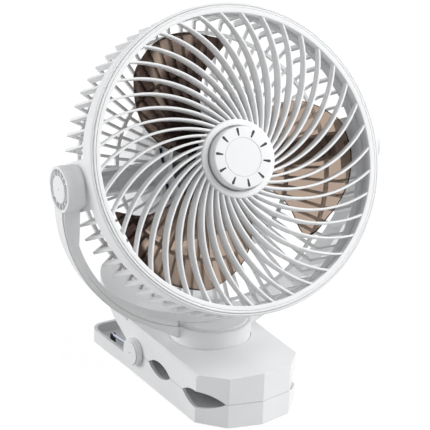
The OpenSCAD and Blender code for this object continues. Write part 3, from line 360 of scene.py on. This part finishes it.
def makeBlade(bm, f):
    # two grids drawn over the outline, front and back, which meet at the rim and the edges
    half = f["thickness"] / 2
    lead, rim, trail = (polar(f[k]) for k in ("leading", "rim", "trailing"))
    (radius, a0), a1 = f["leading"][0], f["trailing"][0][1]
    root = polar([(radius, a0 + (a1 - a0) * i / 8) for i in range(9)])
    corners = [Vector(p) for p in (lead[0], trail[0], lead[-1], trail[-1])]
    # shares of the way across and outwards at which the rows lie, closer together at the edges
    us = [0, 0.003, 0.008, 0.016] + [0.03 + 0.94 * i / 26 for i in range(27)] + [0.984, 0.992, 0.997, 1]
    vs = [i / 22 * 0.965 for i in range(23)] + [0.98, 0.99, 0.996, 1]
    acrossLast, outLast = len(us) - 1, len(vs) - 1
    acrossDark, outDark = f["darkEdge"]
    (run, less), (belly, lost) = f["run"], f["belly"]
    verts, rootEdges = [], []
    for side in (-1, 1):
        sheet = bmesh.ops.create_grid(bm, x_segments=acrossLast, y_segments=outLast, size=1)["verts"]
        for face in linked(sheet, "faces"):
            mid = face.calc_center_median()
            i, j = int((mid.x + 1) / 2 * acrossLast), int((mid.y + 1) / 2 * outLast)
            dark = us[i + 1] < acrossDark or us[i] > 1 - acrossDark or vs[j] > 1 - outDark
            face.material_index = 1 if dark else 0
        rootEdges += [e for e in linked(sheet, "edges") if max(v.co.y for v in e.verts) < 0.5 / outLast - 1]
        for vert in sheet:
            u, v = us[round((vert.co.x + 1) / 2 * acrossLast)], vs[round((vert.co.y + 1) / 2 * outLast)]
            p = ((1 - u) * along(lead, v) + u * along(trail, v)
                 + (1 - v) * along(root, u) + v * along(rim, u)
                 - (1 - u) * (1 - v) * corners[0] - u * (1 - v) * corners[1]
                 - (1 - u) * v * corners[2] - u * v * corners[3])
            depth = (f["front"] + (run - less * v ** 6) * u
                     - belly * math.sin(math.pi * u) * (1 - lost * v))
            inward = min(min(u, 1 - u) * f["chord"], (1 - v) * f["reach"]) / half
            swell = half * math.sqrt(1 - (1 - min(1, inward)) ** 2)
            vert.co = (p.x, p.y, -depth + side * swell)
        verts += sheet
    bmesh.ops.bridge_loops(bm, edges=rootEdges)  # closes the root, inside the hub
    return verts


def makeImpeller(f):
    bm = bmesh.new()
    radius, front, length, wall = f["hub"]
    soft = f["hubRounding"]
    turned(bm, [(pole, -front)] + rounded(radius - soft, -front - soft, soft, 90, 0, 6)
           + [(radius, -front - length), (radius - wall, -front - length), (radius - wall, -front - wall),
              (pole, -front - wall)])
    for face in bm.faces:
        face.material_index = 2
    repeated(bm, makeBlade(bm, f), f["blades"])
    # the third colour of each is its painted shade at a slant
    edge = smokyPlastic("smoky_brown_blade_edge", "2e211a", "6b4f3e", "3a2a20", 0.75)
    hub = smokyPlastic("smoky_brown_hub", "151010", "2a1d18", "1a1210", 0.93)
    addPiece("fan_blades", bm, headPlace(), [looks["blades"], edge, hub], "fan", "impeller")


makeImpeller(fan)
print("fan blades built")

grille = {
    "ribs": 40,
    "firstTurn": 44.2,  # degrees
    "ribWidth": 1.6,  # mm, as are the sizes below
    "bendRadius": 83.5,
    "bendCentre": 72.4,
    "ribSpan": (21.7, 96.6),  # radii between which the rib's section changes
    "ribFront": (1.5, -0.4),  # its front edge at those radii
    "ribBack": (-6.5, -9.0, -5.6),  # its back edge at the inner radius, at its deepest and at the outer
    "deepest": 0.525,  # share of the span at which that is
    "ribRounding": (0.62, 0.25),  # of its front and back corners
    "ribSunk": (0.4, 0.8),  # how far its ends reach into the hub ring and the ring
    "ring": (96, 100.9, 2.6, 98.1, 6),  # inner and outer radius, face thickness, skirt radius and depth
    "ringRounding": 0.6,
    "groove": (98.95, 99, 99.2, 0.35),  # where it starts, the radii of its floor, and its depth
    "bead": (100.1, 0.8, 1.2),  # radius of its middle, its own radius, and depth of its shoulder
    "hubRing": (22, 26, 2.5, 7),  # inner and outer radius, rise and depth
    "hubRounding": (0.9, 1.2),  # of its inner and outer edge
    "well": (21.8, 3, 5),  # radius of the well the cap sits in, depths of its floor's two faces
}


def makeRib(bm, g):
    spin = Matrix.Rotation(math.radians(g["firstTurn"]), 3, "Z")
    centre, bend, steps = g["bendCentre"], g["bendRadius"], 30
    inner, outer = g["hubRing"][0] + g["ribSunk"][0], g["ring"][0] + g["ribSunk"][1]
    a0, a1 = (math.acos((r * r - centre ** 2 - bend ** 2) / (2 * centre * bend)) for r in (inner, outer))
    half = g["ribWidth"] / 2
    start, end = g["ribSpan"]
    front, back, deepest = g["ribFront"], g["ribBack"], g["deepest"]
    soft, fine = g["ribRounding"]
    rings = []
    for i in range(steps + 1):
        a = a0 + (a1 - a0) * i / steps
        out = Vector((math.cos(a), -math.sin(a), 0))
        mid = Vector((centre, 0, 0)) + bend * out
        t = (mid.length - start) / (end - start)
        top = front[0] + (front[1] - front[0]) * t
        low = (back[0] + (back[1] - back[0]) * min(1, t / deepest)
               + (back[2] - back[1]) * max(0, (t - deepest) / (1 - deepest)))
        section = (rounded(half - soft, top - soft, soft, 0, 90, 4)
                   + rounded(soft - half, top - soft, soft, 90, 180, 4)
                   + rounded(fine - half, low + fine, fine, 180, 270, 2)
                   + rounded(half - fine, low + fine, fine, 270, 360, 2))
        rings.append([spin @ (mid + out * w + Vector((0, 0, z))) for w, z in section])
    return swept(bm, rings)


def makeGrille(g):
    bm = bmesh.new()
    repeated(bm, makeRib(bm, g), g["ribs"])
    inner, outer, face, skirt, deep = g["ring"]
    soft = g["ringRounding"]
    lip, floorFrom, floorTo, grooveDepth = g["groove"]
    beadAt, beadRadius, shoulder = g["bead"]
    turned(bm, rounded(inner + soft, -soft, soft, 180, 90, 4)
           + [(lip, 0), (floorFrom, -grooveDepth), (floorTo, -grooveDepth)]
           + rounded(beadAt, -beadRadius, beadRadius, 150, 10, 6)
           + [(outer, -shoulder), (outer, -face), (skirt, -face), (skirt, -deep), (inner, -deep)], 192)
    low, high, rise, depth = g["hubRing"]
    well, floorFront, floorBack = g["well"]
    inSoft, outSoft = g["hubRounding"]
    turned(bm, [(pole, -floorFront), (well, -floorFront), (well, rise - inSoft - 0.2)]
           + rounded(well + inSoft, rise - inSoft, inSoft, 180, 90, 4)
           + rounded(high - outSoft, rise - outSoft, outSoft, 90, 0, 5)
           + [(high, -depth), (low, -depth), (low, -floorBack), (pole, -floorBack)])
    addPiece("spiral_grille", bm, headPlace(), [looks["body"]], "head", "front_grille")


makeGrille(grille)
print("front grille built")

hubCap = {
    "radius": 20.5,  # mm, as are the sizes below
    "rise": 9.55,
    "foot": -2.95,
    "wall": 1.8,
    "rounding": 0.9,  # of its rim
    "circle": (12.75, 0.28, 0.3),  # radius, width and depth of the fine engraved circle
}


def makeHubCap(c):
    bm = bmesh.new()
    r, top, soft = c["radius"], c["rise"], c["rounding"]
    inside, under = r - c["wall"], top - c["wall"]
    mid, wide, deep = c["circle"]
    turned(bm, [(pole, top), (mid - wide, top), (mid - wide / 3, top - deep), (mid + wide / 3, top - deep),
                (mid + wide, top)] + rounded(r - soft, top - soft, soft, 90, 0, 7)
           + [(r, c["foot"]), (inside, c["foot"]), (inside, under), (pole, under)], 160)
    addPiece("hub_cap_disc", bm, headPlace(), [looks["body"]], "head", "hub_cap")


makeHubCap(hubCap)
print("hub cap built")

pivotCap = {
    "outside": 113.7,  # mm from the middle of the head to the outer face of a boss, as are the sizes below
    "radius": 9.3,
    "proud": 0.3,
    "rounding": 0.5,
    "flange": (13.4, 4.4, 1.4),  # radius, depth below the boss face, thickness
    "rib": 0.9,  # width of the ribs round the disc
    "ribDepth": 0.7,  # of their fronts below the boss face
    "ribSunk": (0.4, 0.2),  # how far they reach into the disc and over the rim, and into the flange
    "ribRounding": 0.15,
    "ribTurns": (42, 66, 90, 114, 138, 222, 246, 270, 294, 318),  # degrees
    "dot": (0.7, 0.4),  # radius and depth of the dot in the middle
}


def makePivotCap(side, c):
    bm = bmesh.new()
    r, top, soft = c["radius"], c["proud"], c["rounding"]
    wide, deep, thick = c["flange"]
    dot, dotDepth = c["dot"]
    turned(bm, [(pole, top - dotDepth), (dot * 0.7, top - dotDepth + 0.05), (dot, top)]
           + rounded(r - soft, top - soft, soft, 90, 0, 5)
           + [(r, -deep), (wide, -deep), (wide, -deep - thick), (pole, -deep - thick)], 96)
    sunk, seated = c["ribSunk"]
    tall = deep + seated - c["ribDepth"]
    for turn in c["ribTurns"]:
        roundedBox(bm, Matrix.Rotation(math.radians(turn), 4, "Z")
                   @ Matrix.Translation((0, (r + wide) / 2, -c["ribDepth"] - tall / 2))
                   @ Matrix.Diagonal((c["rib"], wide - r + 2 * sunk, tall, 1)), c["ribRounding"])
    place = (Matrix.Translation((0, 0, head["pivotHeight"]))
             @ Matrix.Rotation(math.radians(head["yaw"]), 4, "Z")
             @ Matrix.Translation((side * c["outside"], 0, 0))
             @ Matrix.Rotation(math.radians(90 * side), 4, "Y"))
    end = "right" if side > 0 else "left"
    addPiece("pivot_cap_disc_" + end, bm, place, [looks["body"]], "yoke", "pivot_cap_" + end)


for side in (1, -1):
    makePivotCap(side, pivotCap)
print("pivot caps built")

spring = {
    "hinge": (30.3, 17.45),  # mm, y and z of the hinge, as are the sizes below
    "wire": 1.0,  # radius
    "coil": 5.6,  # radius of its middle line
    "from": 30.9,  # x of its outer and inner end
    "to": 15.6,
    "turns": 5,
    "still": 1,  # length at each end of the coil that doesn't twist
    "lowerLeg": (45.7, -5),  # length, and slope in degrees
    "upperLeg": (20, 20),
}


def makeSpring(side, q):
    (low, rise), (high, lift) = q["lowerLeg"], q["upperLeg"]
    a, b = rise - 90, 90 + lift - 360 * (q["turns"] + 1)
    coil, sides, lowSteps, highSteps, n = q["coil"], 16, 6, 4, 48 * q["turns"]

    def spot(x, turn, slope, length):
        c, k = math.radians(turn), math.radians(slope)
        return Vector((x, coil * math.cos(c) + length * math.cos(k),
                       coil * math.sin(c) + length * math.sin(k)))

    start, end = q["from"], q["to"]
    path = [spot(start, a, rise, low * (1 - i / lowSteps)) for i in range(lowSteps)]
    path += [spot(start + (end - start) * i / n, a + (b - a) * i / n, 0, 0) for i in range(n + 1)]
    path += [spot(end, b, lift, high * i / highSteps) for i in range(1, highSteps + 1)]
    bm = bmesh.new()
    rings = []
    for i, p in enumerate(path):
        way = (path[min(i + 1, len(path) - 1)] - path[max(i - 1, 0)]).normalized()
        u = (Vector((1, 0, 0)) - way.x * way).normalized()
        v = way.cross(u)
        turns = [k * math.tau / sides for k in range(sides)]
        rings.append([p + q["wire"] * (u * math.cos(t) + v * math.sin(t)) for t in turns])
    swept(bm, rings)
    y, z = q["hinge"]
    place = Matrix.Diagonal((side, 1, 1, 1)) @ Matrix.Translation((0, y, z))
    name = "spring_right" if side > 0 else "spring_left"
    obj = addPiece(name, bm, place, [looks["spring_steel"]], None, "clamp_springs")
    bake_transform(obj)


for side in (1, -1):
    makeSpring(side, spring)
print("springs wound")

clip = {
    "at": (30.9, 74.6),  # mm, x and y of its middle, as are the sizes below
    "size": (3.4, 2.4),
    "from": 2.8,  # heights of its foot and of the wire's seat
    "to": 7.6,
    "horn": (0.9, 1.5),  # width of the horns beside the wire, and their rise above its seat
    "hornSunk": 0.4,
    "rounding": 0.22,
}


def makeClips(c):
    bm = bmesh.new()
    wide, long = c["size"]
    horn, rise = c["horn"]
    base, tall = c["to"] - c["from"], rise + c["hornSunk"]
    for side in (1, -1):
        x, y = side * c["at"][0], c["at"][1]
        boxes = [((x, y, c["from"] + base / 2), (wide, long, base))]
        boxes += [((x + k * (wide - horn) / 2, y, c["to"] + rise - tall / 2), (horn, long, tall))
                  for k in (1, -1)]
        for spot, size in boxes:
            roundedBox(bm, Matrix.Translation(spot) @ Matrix.Diagonal((*size, 1)), c["rounding"])
    addPiece("spring_clips", bm, Matrix.Identity(4), [looks["black_plastic"]], "foot",
             "spring_anchors")


makeClips(clip)
print("spring clips built")

studio = {
    "middle": (0, 0, 0.13),  # metres, where the lamps point
    "lamps": {  # place, width and height in metres, and watts
        "key": ((1.1, -0.95, 1.17), (1.4, 1.4), 27.5),
        "top": ((-0.1, -0.1, 1.6), (1.6, 1.6), 2.5),
        "left": ((-1.45, 0.8, 0.3), (1.0, 1.2), 18),
    },
    "fill": 0.39,  # strength of the pale room around
    "paper": "cccccc",
    "glow": 0.84,  # of the sheet that the camera sees
    "take": 0.44,  # share of the lamps' light on that sheet, which draws the shadow
    "floor": (6, -0.0002),  # metres, half its side, and its height
}


def backgroundRays(tree):
    # 1 for the rays that meet the white background: seen, mirrored or through clear pieces
    path = addNode(tree, "ShaderNodeLightPath")
    direct = addNode(tree, "ShaderNodeMath", {"operation": "ADD"},
                     {0: path.outputs["Is Camera Ray"], 1: path.outputs["Is Glossy Ray"]})
    return addNode(tree, "ShaderNodeMath", {"operation": "ADD", "use_clamp": True},
                   {0: direct, 1: path.outputs["Is Transmission Ray"]})


def makeFloor(s):
    size, height = s["floor"]
    bm = bmesh.new()
    bmesh.ops.create_grid(bm, x_segments=1, y_segments=1, size=size,
                          matrix=Matrix.Translation((0, 0, height)))
    mesh = bpy.data.meshes.new("floor")
    bm.to_mesh(mesh)
    bm.free()
    mat = bpy.data.materials.new("floor_paper")
    mat.use_nodes = True
    tree = mat.node_tree
    tree.nodes.clear()
    base = linear(s["paper"])
    paper = addNode(tree, "ShaderNodeBsdfDiffuse", {"Color": base})
    sheet = addNode(tree, "ShaderNodeBsdfDiffuse", {"Color": shade(base, s["take"])})
    light = addNode(tree, "ShaderNodeEmission", {"Strength": s["glow"]})
    bright = addNode(tree, "ShaderNodeAddShader", links={0: sheet, 1: light})
    mix = addNode(tree, "ShaderNodeMixShader", links={0: backgroundRays(tree), 1: paper, 2: bright})
    addNode(tree, "ShaderNodeOutputMaterial", links={0: mix})
    mesh.materials.append(mat)
    addObject("floor", mesh)


def makeLamp(name, spot, size, power, aim):
    data = bpy.data.lights.new(name, "AREA")
    data.shape = "RECTANGLE"
    data.size, data.size_y = size
    data.energy = power
    lamp = addObject(name, data)
    lamp.location = spot
    lamp.rotation_euler = (Vector(aim) - Vector(spot)).to_track_quat("-Z", "Y").to_euler()


def makeWorld(s):
    world = bpy.data.worlds.new("studio")
    bpy.context.scene.world = world
    world.use_nodes = True
    tree = world.node_tree
    tree.nodes.clear()
    white = (1, 1, 1, 1)
    seen = addNode(tree, "ShaderNodeBackground", {"Color": white, "Strength": 1.0})
    fill = addNode(tree, "ShaderNodeBackground", {"Color": white, "Strength": s["fill"]})
    mix = addNode(tree, "ShaderNodeMixShader", links={0: backgroundRays(tree), 1: fill, 2: seen})
    addNode(tree, "ShaderNodeOutputWorld", links={0: mix})


makeFloor(studio)
makeWorld(studio)
for name, (spot, size, power) in studio["lamps"].items():
    makeLamp(name, spot, size, power, studio["middle"])
bpy.context.scene.view_settings.view_transform = "Standard"
print("studio lit")
